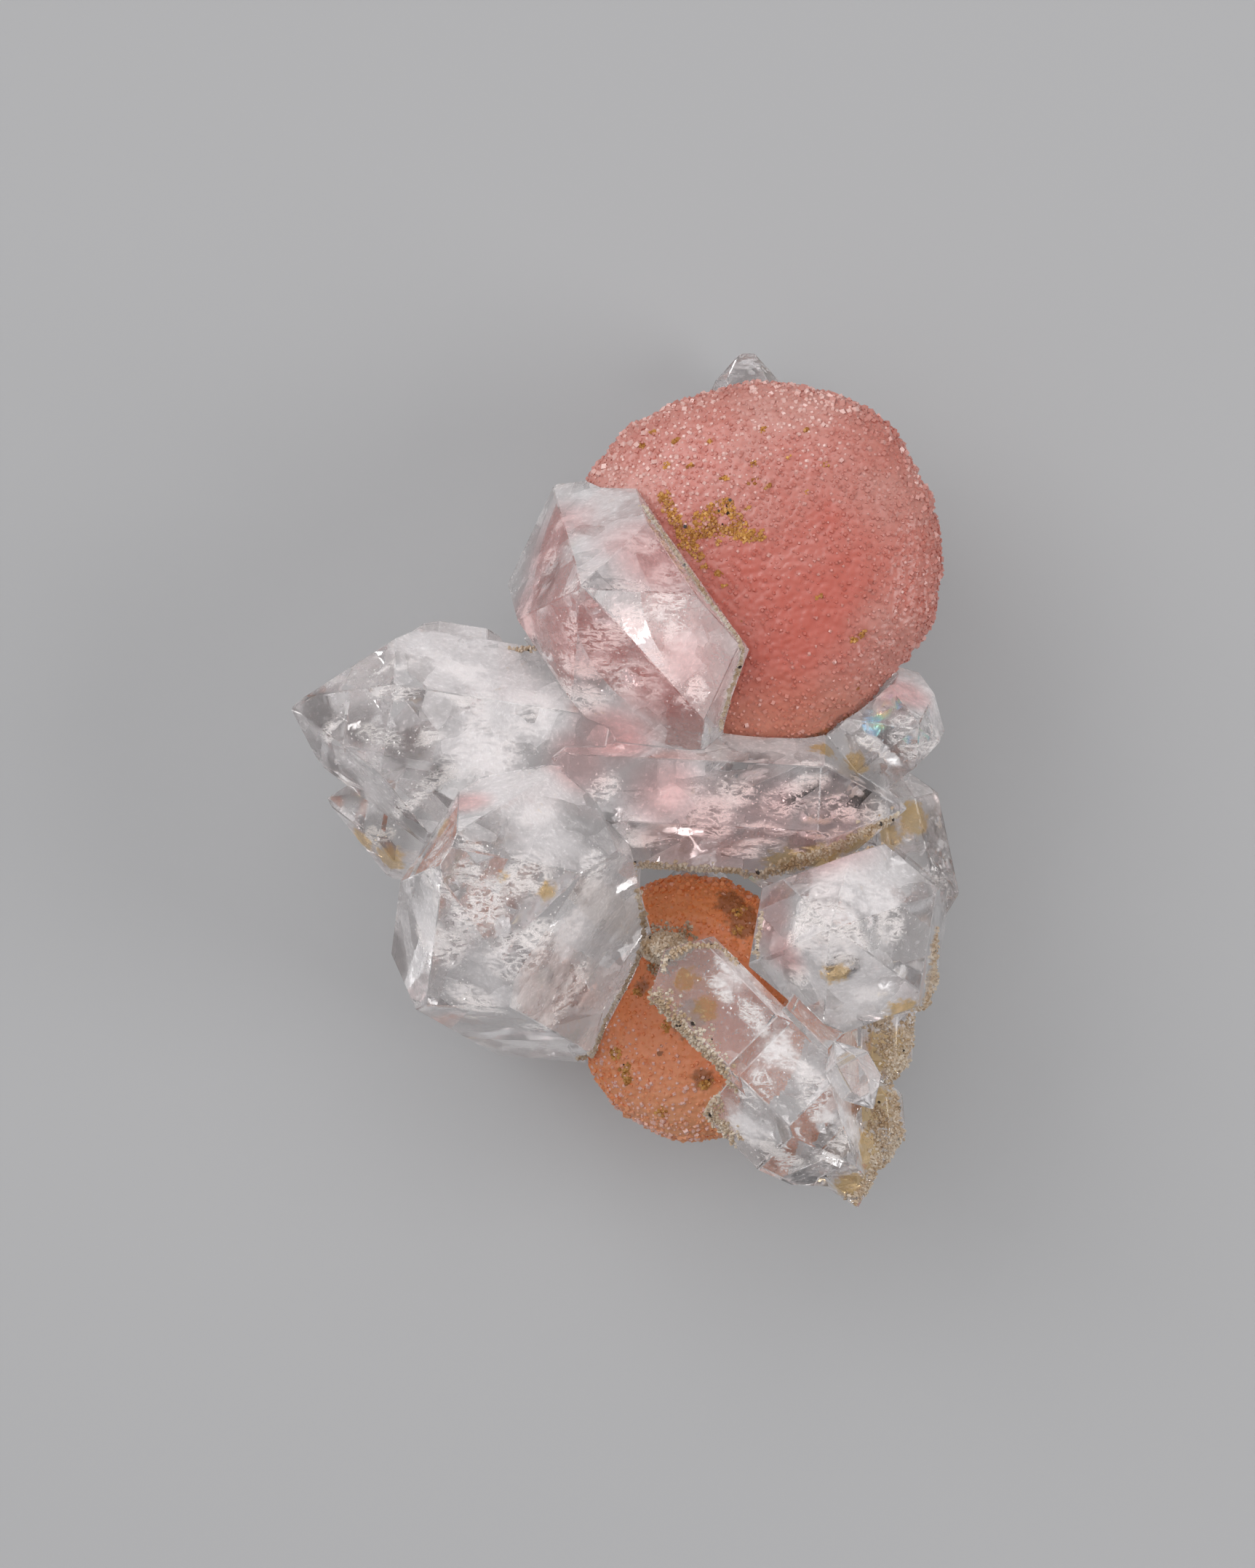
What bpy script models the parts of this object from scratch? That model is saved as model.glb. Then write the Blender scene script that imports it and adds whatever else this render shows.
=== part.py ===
"""Cluster of clear and milky quartz crystals grown around two pink mineral discs.

The specimen lies on its back. The side that is looked at faces up (+Z), its top points to +Y and its right to +X.
The origin is under the middle of it, on the surface that it lies on. Units are metres.
"""

import math
from collections import namedtuple

import bmesh
import bpy
from mathutils import Matrix, Vector, noise

MM = 0.001

# The middle of the specimen in the lists below, in millimetres.
MIDDLE = (0.08, 0.29, 0.0)

# Quartz: six sides, and six tip faces whose normals make this angle with the long axis.
TIP_FACE_ANGLE = math.radians(51.79)
SIDE_COUNT = 6
BLOCK_HALF = 90 * MM
CUT_SNAP = 0.002 * MM

# Colours, roughness and glass strength of the two minerals.
QUARTZ_COLOUR = (0.90, 0.88, 0.89, 1.0)
QUARTZ_ROUGHNESS = 0.05
QUARTZ_IOR = 1.544
UPPER_PINK = (0.80, 0.36, 0.33, 1.0)
LOWER_PINK = (0.80, 0.38, 0.25, 1.0)
PINK_ROUGHNESS = 0.45

# One crystal, in millimetres and degrees. The tip is where the long axis leaves the crystal.
# Azimuth is counted from +X towards +Y, rise is the slope of the long axis above the table,
# and roll turns the sides about it. The first side faces up when roll is zero.
# Sides are the six distances from the long axis, drops how far each tip face is set back along it,
# and trims are extra flat ends: a direction and its distance from the tip.
Crystal = namedtuple("Crystal", "name tip azimuth rise roll sides drops length trims")

LEFT_TURN = (171, 7, -9)
LOW_TURN = (-45, 2, -6)
EVEN = (0, 0.15, 0.05, 0.2, 0.1, 0.25)
DOWN = (0, 0, -1)


def even_sides(distance):
    """Six nearly equal side distances, as in a crystal that grew freely."""
    return tuple(distance + step for step in (0, -0.1, 0.12, 0, 0.08, -0.06))


FRONT_CRYSTALS = [
    Crystal("high_front", (-3.7, 15.7, 35.6), 155, 70, 0,
            (10.0, 6.2, 12.0, 11.6, 7.6, 11.6), EVEN, 70, [(DOWN, 24)]),
    Crystal("left_point", (-27.9, 7.0, 21.6), *LEFT_TURN,
            (6.3, 6.0, 6.5, 6.3, 6.5, 10.5), (0, 0.3, 1.6, 0.1, -4.0, -0.6), 34, []),
    Crystal("left_ridge", (-22.2, 9.6, 18.0), *LEFT_TURN,
            (4.8, 4.6, 3.8, 4.5, 4.4, 4.6), EVEN, 16, []),
    Crystal("left_lower", (-24.9, -1.4, 17.0), *LEFT_TURN,
            (3.6, 2.6, 4.5, 4.4, 5.2, 5.1), (0, 0.1, 0.2, 0, 0.1, -0.4), 22, []),
    Crystal("low_front", (-15.3, -5.1, 36.5), 147, 65, 0,
            (7.8, 10.3, 9.8, 4.8, 11.0, 10.9), (0, 0.1, 0.2, 2.0, 0.1, -1.6), 70,
            [((0.1, 0.1, -1), 28), ((0.927, -0.374, 0), 19.0), ((0.97, 0.25, 0), 15.0)]),
    Crystal("face_on", (16.7, -12.0, 33.0), 170, 83, 0,
            (7.2, 7.6, 5.4, 7.1, 7.4, 8.1), EVEN, 32, []),
    Crystal("bridge", (23.5, -2.3, 20.0), -3, 0, 0,
            (6.0, 5.0, 5.5, 6.1, 5.9, 5.6), EVEN, 36, []),
    Crystal("right_glass", (24.1, 4.4, 26.0), 15, 72, 0,
            (6.0, 6.2, 2.8, 3.9, 5.7, 5.0), EVEN, 24, []),
    Crystal("right_side", (25.6, -13.4, 13.5), -78, 0, 10,
            even_sides(2.6), EVEN, 15.5, []),
    Crystal("low_right", (19.9, -34.5, 21.0), *LOW_TURN,
            (6.9, 4.3, 4.0, 6.3, 8.4, 8.5), (0, 2.5, 0.1, 0.2, 0, 0.1), 60, [((-0.8, 0.6, 0), 15.0)]),
    Crystal("low_right_high", (16.8, -28.6, 21.0), *LOW_TURN,
            (7.4, 6.3, 6.2, 6.4, 6.3, 6.1), (0, -3, -3, -3, -3, -3), 60,
            [((-0.25, 0.97, 0), 17.7), ((-0.95, 0.3, 0), 17.4), ((-1, -1, 0), 3.0), ((1, 1, 0), 4.4)]),
    Crystal("low_tip", (19.3, -35.6, 19.0), -75, 4, 12,
            even_sides(2.6), EVEN, 9, []),
    Crystal("shard", (20.4, -27.1, 28.0), -60, 10, 0,
            even_sides(1.7), EVEN, 7, []),
    Crystal("edge_crust_a", (24.0, -19.8, 15.0), -85, 0, 0,
            even_sides(1.9), EVEN, 9, []),
    Crystal("edge_crust_b", (21.5, -25.8, 17.0), -92, 0, 8,
            even_sides(1.9), EVEN, 10, []),
    Crystal("edge_crust_c", (21.2, -32.5, 17.0), -85, 0, 4,
            even_sides(2.0), EVEN, 9, []),
]

# Crystals of the back. The three that carry the specimen have a side flat on the table.
BACK_CRYSTALS = [
    Crystal("back_left", (-23.0, 3.0, 8.0), 182, 0, 0,
            (8.0, 6.8, 6.9, 8.0, 8.1, 7.9), EVEN, 36, []),
    Crystal("top_point", (10.7, 36.1, 6.0), 90, 0, 0,
            (6.0, 5.9, 6.1, 6.0, 4.2, 2.9), (0.1, 0, 0, 0.1, -0.9, -1.2), 42, []),
    Crystal("back_low_right", (19.5, -29.0, 5.5), -60, 0, 0, even_sides(5.5), EVEN, 20, []),
    Crystal("back_low_left", (-16.5, -17.0, 8.8), 225, 6, 10, even_sides(6.0), EVEN, 26, []),
    Crystal("back_high_left", (-6.0, 21.5, 8.4), 115, 4, 20, even_sides(5.8), EVEN, 26, []),
    Crystal("back_high_right", (21.0, 26.5, 8.0), 48, 3, 12, even_sides(5.2), EVEN, 24, []),
    Crystal("back_right", (25.5, -5.5, 9.0), -12, 2, 25, even_sides(5.2), EVEN, 24, []),
    Crystal("back_low", (4.0, -27.0, 4.9), -97, 0, 15, even_sides(4.2), EVEN, 22, []),
    Crystal("heart", (-3.5, 2.5, 1.5), 20, -84, 5, even_sides(8.5), EVEN, 24, []),
    Crystal("heart_right", (13.5, -2.0, 2.0), 130, -72, 15, even_sides(6.0), EVEN, 19, []),
]

# The outlines of the discs, slightly polygonal: the share of the half width that each twelfth of a turn reaches.
UPPER_OUTLINE = (0.985, 1.0, 1.035, 1.0, 0.98, 1.04, 1.04, 1.01, 1.0, 0.99, 0.97, 0.94)
LOWER_OUTLINE = (1.0, 1.01, 1.0, 0.99, 1.0, 1.01, 1.0, 1.0, 0.99, 1.0, 1.01, 1.0)

# A disc, in millimetres and degrees: its middle, the way its face leans, its half widths and half thickness.
Disc = namedtuple("Disc", "name middle azimuth rise half_length half_width half_thickness "
                          "segments rings colour outline")

UPPER_DISC = Disc("pink_disc_upper", (11.05, 17.7, 19.0), 170, 80, 15.4, 15.4, 5.2, 90, 14,
                  UPPER_PINK, UPPER_OUTLINE)
LOWER_DISC = Disc("pink_disc_lower", (5.5, -19.0, 9.5), 180, 82, 9.6, 11.2, 3.9, 64, 12,
                  LOWER_PINK, LOWER_OUTLINE)

RIM_TOOTH = 0.035            # how far the teeth of the rim stand out, as a share of the radius
FACE_LUMP = 0.12             # millimetres, height of the low lumps on a disc's faces
LUMP_SIZE = 2.2              # millimetres, width of one lump
FLATNESS = 3.0               # power of the disc's profile: 2 is a plain ellipsoid, more is flatter
POCKET_GAP = 0.45            # millimetres between a disc and the quartz around it
POCKET_SEGMENTS = 48
POCKET_RINGS = 12


def clear_scene():
    """Start from nothing."""
    for thing in list(bpy.data.objects):
        bpy.data.objects.remove(thing, do_unlink=True)


def make_material(name, colour, roughness, transmission=0.0, ior=1.5):
    """A Principled material with the mineral's own values."""
    material = bpy.data.materials.new(name)
    material.use_nodes = True
    shader = material.node_tree.nodes["Principled BSDF"]
    shader.inputs["Base Color"].default_value = colour
    shader.inputs["Roughness"].default_value = roughness
    shader.inputs["Metallic"].default_value = 0.0
    shader.inputs["Transmission Weight"].default_value = transmission
    shader.inputs["IOR"].default_value = ior
    material.diffuse_color = colour
    return material


def add_object(name, mesh, material):
    """Link a mesh object to the scene."""
    thing = bpy.data.objects.new(name, mesh)
    bpy.context.scene.collection.objects.link(thing)
    mesh.materials.append(material)
    return thing


def make_guide(thing):
    """Mark an object as a cutter or a partner of a Boolean, not a piece of its own."""
    thing.hide_render = True
    thing.display_type = "WIRE"


def axes(azimuth, rise, roll):
    """Unit vectors of a crystal: towards its first side, towards its second quarter, along it."""
    turn = math.radians(azimuth)
    slope = math.radians(rise)
    along = Vector((math.cos(slope) * math.cos(turn), math.cos(slope) * math.sin(turn), math.sin(slope)))
    upward = Vector((-math.sin(slope) * math.cos(turn), -math.sin(slope) * math.sin(turn), math.cos(slope)))
    first = Matrix.Rotation(math.radians(roll), 3, along) @ upward
    return first, along.cross(first), along


def cut_flat(work, point, normal):
    """Cut away what lies beyond a plane and close the cut."""
    parts = work.verts[:] + work.edges[:] + work.faces[:]
    result = bmesh.ops.bisect_plane(work, geom=parts, dist=CUT_SNAP, plane_co=point, plane_no=normal,
                                    clear_outer=True)
    edges = [part for part in result["geom_cut"] if isinstance(part, bmesh.types.BMEdge)]
    if edges:
        bmesh.ops.edgenet_fill(work, edges=edges)


def crystal_mesh(crystal):
    """A block cut by the crystal's sides, its tip faces, the faces of its other end and its trims."""
    work = bmesh.new()
    tip = (Vector(crystal.tip) - Vector(MIDDLE)) * MM
    bmesh.ops.create_cube(work, size=2 * BLOCK_HALF, matrix=Matrix.Translation(tip))
    first, second, along = axes(crystal.azimuth, crystal.rise, crystal.roll)
    across = math.sin(TIP_FACE_ANGLE)
    lift = math.cos(TIP_FACE_ANGLE)
    for index in range(SIDE_COUNT):
        angle = math.tau * index / SIDE_COUNT
        outward = math.cos(angle) * first + math.sin(angle) * second
        cut_flat(work, tip + crystal.sides[index] * MM * outward, outward)
        cut_flat(work, tip - crystal.drops[index] * MM * along, across * outward + lift * along)
        far_end = tip - (crystal.length - crystal.drops[index]) * MM * along
        cut_flat(work, far_end, across * outward - lift * along)
    for direction, distance in crystal.trims:
        normal = Vector(direction).normalized()
        cut_flat(work, tip + distance * MM * normal, normal)
    bmesh.ops.recalc_face_normals(work, faces=work.faces[:])
    mesh = bpy.data.meshes.new(crystal.name)
    work.to_mesh(mesh)
    work.free()
    return mesh


def outline_reach(outline, turn):
    """Share of the half width that a disc's rim reaches at an angle, smooth between the listed ones."""
    position = (turn / math.tau * len(outline)) % len(outline)
    before = int(position)
    part = position - before
    blend = part * part * (3 - 2 * part)
    return outline[before % len(outline)] * (1 - blend) + outline[(before + 1) % len(outline)] * blend


def disc_mesh(disc, growth, segments, rings, rough):
    """A thick lens. Growth widens it all round; rough gives it a toothed rim and low lumps."""
    work = bmesh.new()
    bmesh.ops.create_uvsphere(work, u_segments=segments, v_segments=rings, radius=1.0)
    first, second, normal = axes(disc.azimuth, disc.rise, 0)
    middle = Vector(disc.middle) - Vector(MIDDLE)
    for vertex in work.verts:
        spot = vertex.co.copy()
        ring = min(1.0, math.hypot(spot.x, spot.y))
        turn = math.atan2(spot.y, spot.x)
        height = (1 - ring ** FLATNESS) ** (1 / 2)
        side = math.copysign(1.0, spot.z) if abs(spot.z) > 1e-4 else 0.0
        tooth = 0.0
        lump = 0.0
        if rough:
            step = round(turn / math.tau * segments)
            tooth = RIM_TOOTH * ring ** 6 * noise.noise(Vector((step * 1.37, disc.half_length, 0.5)))
            place = Vector((spot.x * disc.half_length, spot.y * disc.half_width, side * 9.0)) / LUMP_SIZE
            lump = FACE_LUMP * noise.noise(place)
        reach = ring * (outline_reach(disc.outline, turn) + tooth)
        across = (disc.half_length + growth) * reach * math.cos(turn)
        aside = (disc.half_width + growth) * reach * math.sin(turn)
        up = side * ((disc.half_thickness + growth) * height + lump)
        vertex.co = (middle + across * first + aside * second + up * normal) * MM
    bmesh.ops.recalc_face_normals(work, faces=work.faces[:])
    mesh = bpy.data.meshes.new(disc.name)
    work.to_mesh(mesh)
    work.free()
    return mesh


def add_boolean(thing, partner, operation):
    """Join a partner to an object, or cut it out of it."""
    modifier = thing.modifiers.new(partner.name, "BOOLEAN")
    modifier.operation = operation
    modifier.solver = "EXACT"
    modifier.object = partner


def build_discs():
    """The two pink discs."""
    for disc in (UPPER_DISC, LOWER_DISC):
        material = make_material(disc.name, disc.colour, PINK_ROUGHNESS)
        add_object(disc.name, disc_mesh(disc, 0.0, disc.segments, disc.rings, True), material)


def build_quartz():
    """All the crystals joined in one solid, with a pocket for each disc."""
    material = make_material("quartz", QUARTZ_COLOUR, QUARTZ_ROUGHNESS, transmission=1.0, ior=QUARTZ_IOR)
    crystals = FRONT_CRYSTALS + BACK_CRYSTALS
    cluster = add_object("quartz_cluster", crystal_mesh(crystals[0]), material)
    for crystal in crystals[1:]:
        partner = add_object("join_" + crystal.name, crystal_mesh(crystal), material)
        make_guide(partner)
        add_boolean(cluster, partner, "UNION")
    for disc in (UPPER_DISC, LOWER_DISC):
        pocket = add_object("pocket_" + disc.name,
                            disc_mesh(disc, POCKET_GAP, POCKET_SEGMENTS, POCKET_RINGS, False), material)
        make_guide(pocket)
        add_boolean(cluster, pocket, "DIFFERENCE")


def main():
    """Build the specimen."""
    clear_scene()
    build_discs()
    build_quartz()


if __name__ == "__main__":
    main()
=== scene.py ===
"""Looks of a cluster of clear and milky quartz crystals grown around two pink mineral discs.

Sizes are in metres and colours are scene linear. Lists of places are in millimetres.
"""

import math
import random

import bpy
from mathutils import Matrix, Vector, noise


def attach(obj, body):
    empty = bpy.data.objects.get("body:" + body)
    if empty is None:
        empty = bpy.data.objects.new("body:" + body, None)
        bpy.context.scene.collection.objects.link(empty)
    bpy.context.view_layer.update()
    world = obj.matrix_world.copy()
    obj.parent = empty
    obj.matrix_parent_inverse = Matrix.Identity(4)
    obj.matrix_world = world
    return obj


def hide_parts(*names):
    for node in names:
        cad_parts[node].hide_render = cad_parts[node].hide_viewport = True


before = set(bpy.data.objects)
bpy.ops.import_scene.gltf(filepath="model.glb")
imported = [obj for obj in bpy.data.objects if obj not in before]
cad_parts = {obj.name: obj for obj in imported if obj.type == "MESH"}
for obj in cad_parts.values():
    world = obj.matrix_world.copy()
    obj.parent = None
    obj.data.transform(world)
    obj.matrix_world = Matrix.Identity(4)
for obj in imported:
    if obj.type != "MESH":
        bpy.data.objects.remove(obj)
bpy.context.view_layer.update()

bl_info = {
    "name": "Quartz specimen",
    "version": (1, 0, 0),
    "blender": (4, 5, 0),
    "location": "3D View > Sidebar > Specimen",
    "description": "Builds a quartz cluster with two pink discs and its stage",
    "category": "Object",
}

MM = 0.001
PER_MM = 1000.0

# How deep under each face the haze of the quartz is read, in millimetres.
HAZE_DEPTH = 2.2

# The middle and the radius of each pink disc in millimetres, and the way that its axis points.
UPPER_DISC = ((11.0, 17.4, 19.0), 15.4, (-0.171, 0.030, 0.985))
LOWER_DISC = ((5.4, -19.3, 9.5), 10.4, (-0.139, 0.0, 0.990))

# How far the rim teeth of the discs stay from the quartz, and fractures from its faces, in millimetres.
TOOTH_GAP = 0.62
FRACTURE_GAP = 0.3

# Crust: the step of its lines in millimetres, and the tries for a grain per millimetre of line and of width.
LINE_STEP = 0.4
CRUST_TRIES = 120

# The lights: name, place and side in metres, and the setting that holds the power.
LIGHTS = [
    ("key_light", (-0.50, 0.40, 0.60), 0.55, "key_power"),
    ("fill_light", (0.60, -0.10, 0.45), 0.40, "fill_power"),
    ("top_light", (0.10, 0.75, 1.00), 0.60, "top_power"),
]
DOME_WAY = (-0.50, 0.38, 0.78)
EYE_PLACE = (0.00007, -0.00059)

# Places on the surface of the quartz, in millimetres: the middle of each patch and its radius.
CLEAR_PATCHES = [
    ((9.6, 33.4, 5.0), 2.2), ((-15.6, 0.2, 24.4), 2.6), ((-5.6, -19.8, 19.0), 2.6),
    ((-25.5, 5.4, 23.1), 2.4), ((-21.3, 4.2, 24.7), 3.0), ((-18.3, 2.7, 25.4), 3.0),
    ((-23.3, -0.3, 19.2), 3.4), ((-20.3, -5.5, 19.5), 3.8), ((-17.6, -3.2, 24.0), 2.4),
    ((10.1, -0.3, 25.0), 3.4), ((16.0, -1.8, 25.0), 3.8), ((19.6, -1.0, 23.0), 3.0),
    ((-0.8, -4.0, 25.0), 2.4), ((22.0, 3.2, 23.0), 2.4), ((26.1, -5.6, 14.8), 4.4),
    ((26.4, -10.1, 16.0), 3.4), ((-19.1, -14.5, 22.5), 3.2), ((-4.2, -21.4, 17.0), 3.4),
    ((-6.3, 16.1, 26.8), 3.0), ((17.5, -15.1, 28.6), 2.4), ((13.1, -30.9, 23.5), 3.4),
    ((16.0, -29.4, 24.7), 2.4), ((19.1, -27.3, 21.0), 2.4),
]
MILKY_PATCHES = [
    ((-13.5, 9.1, 23.7), 5.4), ((-9.7, 6.5, 25.0), 5.0), ((-16.5, 10.6, 22.5), 3.4),
    ((-6.4, 4.4, 24.6), 3.4), ((-8.5, -1.7, 29.6), 5.4), ((-3.4, -11.5, 26.3), 4.4),
    ((-15.9, -11.4, 30.5), 3.4), ((-11.1, -15.8, 29.6), 4.4), ((-7.0, -5.5, 30.3), 4.4),
    ((4.1, -1.0, 25.0), 3.8), ((1.9, -4.0, 25.0), 2.8), ((-2.6, 22.2, 23.0), 2.8), ((0.4, 5.0, 25.2), 4.4),
    ((4.8, 10.1, 28.8), 3.0), ((19.0, -9.2, 27.5), 5.6), ((18.0, -14.2, 27.0), 6.5),
    ((13.4, -24.6, 25.2), 6.0), ((15.9, -13.6, 29.8), 3.6), ((19.8, -17.4, 25.2), 3.4),
    ((11.9, -22.6, 26.1), 5.0), ((8.6, -15.9, 26.6), 3.6), ((16.0, -26.3, 26.0), 3.8),
    ((10.1, -27.9, 24.1), 3.4), ((22.8, -21.0, 16.0), 4.0), ((12.0, 32.4, 6.0), 2.4),
    ((24.2, 7.0, 20.0), 4.4), ((24.6, 3.4, 18.0), 3.0), ((-14.0, 4.0, 24.0), 4.6),
    ((-11.0, 1.4, 25.0), 4.0), ((-12.0, 11.8, 19.1), 2.6), ((21.5, -31.5, 14.0), 4.0),
]
# Painted pink light: where the quartz takes the pink of the discs that show through it.
PAINTED_ROSE_PATCHES = [
    ((-6.4, 19.2, 23.2), 6.0), ((-8.2, 13.9, 24.8), 5.6), ((-3.1, 11.6, 30.0), 7.5),
    ((1.6, 16.8, 29.0), 6.4), ((3.3, 8.6, 28.6), 7.0), ((-1.1, 3.5, 24.5), 5.0), ((-3.7, 1.2, 25.0), 4.0),
    ((6.5, -5.0, 23.5), 8.0), ((3.0, -1.0, 25.0), 5.0), ((11.5, -3.0, 25.0), 5.4),
    ((16.0, -4.4, 24.0), 6.4), ((12.0, -11.5, 25.0), 3.8), ((13.0, -14.4, 26.4), 3.0),
    ((22.8, 6.5, 21.7), 3.4), ((-13.0, -2.5, 29.4), 3.0),
]
STAINS = [
    ((-20.9, 6.5, 25.0), 1.1), ((-14.8, -4.3, 29.6), 1.4), ((-19.6, -7.0, 18.6), 2.2),
    ((-21.9, -5.2, 17.5), 1.6), ((-10.3, -7.7, 32.9), 1.4), ((-6.7, -9.2, 31.2), 1.5),
    ((13.1, -7.0, 21.8), 2.8), ((16.1, -6.3, 22.2), 3.0), ((19.1, -5.0, 21.0), 3.0),
    ((21.5, -4.6, 15.3), 2.4), ((23.8, -3.3, 16.2), 2.2), ((8.6, -8.0, 19.0), 1.8),
    ((17.1, -15.9, 28.2), 1.9), ((16.1, 2.0, 23.0), 1.8), ((19.1, 1.2, 21.8), 1.8),
    ((4.8, -16.6, 27.2), 2.0), ((6.3, -18.9, 27.4), 1.8), ((22.8, -19.0, 22.7), 2.6),
    ((21.8, -22.8, 18.5), 3.2), ((20.7, -27.4, 18.5), 3.0), ((19.5, -31.1, 19.8), 3.0),
    ((18.4, -33.3, 20.0), 2.4),
]

# Patches of wrinkled, fractured glass.
WRINKLED = [((23.0, 4.5, 20.0), 6.5), ((26.0, -7.5, 13.0), 6.0), ((17.0, -29.5, 20.0), 4.0)]

# Thin fractures inside the crystals: place, width, length, turn and tilt in degrees.
FEATHERS = [
    ((-1.5, 13.0, 27.0), 6, 4, 20, 20), ((1.2, 9.0, 25.4), 6, 5, -30, 25),
    ((-2.6, 10.4, 25.2), 5, 3, 10, 35), ((2.5, 15.0, 26.6), 5, 4, 50, 20),
    ((0.3, 18.0, 25.4), 5, 3, 15, 30), ((-3.0, 7.2, 23.4), 5, 4, -20, 15),
    ((-15.4, 0.2, 21.5), 5, 2.4, 20, 45), ((-14.4, 1.9, 22.4), 4, 2, 30, 50),
    ((-16.4, 3.5, 21.6), 3, 5, 5, 70), ((-11.0, 2.0, 22.4), 6, 5, 40, 25), ((-8.0, 5.0, 22.6), 5, 4, 0, 20),
    ((-13.0, 7.0, 20.8), 5, 4, -20, 20), ((-8.5, -8.0, 30.4), 6, 5, 25, 30),
    ((-12.0, -10.0, 30.0), 5, 6, -40, 30), ((-5.5, -12.0, 25.4), 6, 4, 70, 30),
    ((-9.0, -14.0, 28.6), 6, 5, 10, 25), ((-14.0, -13.0, 27.0), 4, 5, -60, 35),
    ((-3.6, -17.0, 21.4), 5, 5, 60, 40), ((-6.5, -19.2, 20.0), 6, 3, 20, 50),
    ((-12.0, -17.0, 24.4), 6, 3, -15, 45), ((-2.0, -1.0, 23.0), 4, 3, 30, 25),
    ((1.0, -4.4, 22.4), 4, 3, -20, 35), ((13.0, -2.0, 23.2), 5, 4, 10, 30),
    ((17.0, -2.5, 22.0), 5, 3, -15, 35), ((7.0, -3.0, 23.2), 5, 4, 20, 20),
    ((11.0, -4.5, 21.2), 5, 2.5, 5, 40), ((19.5, -3.0, 19.6), 4, 3, 30, 35),
    ((25.0, -9.5, 12.6), 2.5, 4, -10, 40), ((18.0, -8.5, 25.4), 5, 4, 15, 25),
    ((16.5, -12.5, 27.2), 6, 4, -25, 20), ((20.2, -12.0, 23.6), 4, 4, 60, 35),
    ((14.5, -16.0, 24.8), 4, 3, 20, 30), ((12.0, -22.0, 23.8), 4, 4, -50, 20),
    ((15.0, -25.0, 23.4), 4, 3, -50, 25), ((10.4, -28.4, 21.6), 5, 3, -45, 30),
    ((17.0, -29.0, 20.4), 4, 4, 10, 30), ((13.4, -30.2, 20.0), 4, 3, -40, 35),
    ((8.5, -15.5, 24.4), 4, 2.5, -50, 20), ((-15.5, 8.5, 20.8), 5, 3, -35, 25),
    ((-18.5, 7.5, 20.5), 4, 2.5, 20, 40), ((-20.0, 3.6, 21.6), 4, 2.5, -20, 35),
    ((-23.5, 4.4, 20.5), 3, 2, 35, 45), ((-12.5, 4.4, 21.6), 4, 3, 60, 20),
    ((-20.4, -4.5, 17.4), 3, 2.4, 10, 45), ((-17.6, -1.8, 21.4), 4, 2, 45, 40),
    ((4.5, -1.5, 22.6), 5, 2.4, 10, 30), ((9.0, -1.2, 22.6), 4, 3, -25, 25),
    ((14.5, -0.6, 22.8), 4, 2, 20, 35), ((2.0, -5.0, 22.6), 5, 2, 0, 30),
    ((9.5, -5.8, 21.4), 5, 1.6, -5, 35), ((15.5, -4.8, 20.8), 5, 1.6, 12, 40),
    ((16.8, -10.6, 25.4), 3, 3, -20, 30), ((20.0, -10.2, 24.6), 3, 3, 30, 30),
    ((17.4, -14.4, 26.2), 4, 2.4, 40, 25), ((19.4, -17.0, 23.2), 4, 2.4, -10, 35),
    ((14.4, -13.2, 26.4), 3, 2.6, 60, 25), ((7.6, -17.6, 24.8), 3.6, 2, -50, 25),
    ((10.2, -19.6, 24.6), 4, 2.4, -45, 30), ((13.4, -23.4, 24.2), 4, 2.4, -40, 30),
    ((11.2, -25.4, 23.0), 3.6, 2, -50, 30), ((15.2, -27.2, 23.6), 3.4, 2.4, -30, 30),
    ((12.2, -29.2, 22.0), 4, 2, -45, 35), ((22.0, 6.6, 20.4), 3, 2, 20, 30),
    ((23.6, 3.4, 20.0), 3, 2, -30, 35), ((20.4, 3.0, 21.2), 3, 1.6, -20, 30),
    ((24.6, 6.0, 18.2), 2.4, 3, 10, 40), ((-5.6, 17.4, 24.0), 4, 3, -60, 30),
    ((-4.0, 20.6, 22.0), 4, 2.4, 10, 35), ((3.6, 11.8, 27.0), 3, 4, 15, 25),
    ((-6.6, 12.8, 22.4), 3, 3, 40, 35), ((5.2, 7.4, 25.6), 3, 3, -30, 30),
    ((-8.0, -3.6, 27.6), 5, 3, 20, 25), ((-13.6, -7.4, 28.6), 4, 3, -30, 30),
    ((-3.4, -8.0, 27.0), 4, 3, 60, 30), ((-15.4, -12.2, 27.6), 3, 4, -20, 35),
    ((-7.4, -12.6, 29.0), 4, 3, 35, 25),
]
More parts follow.
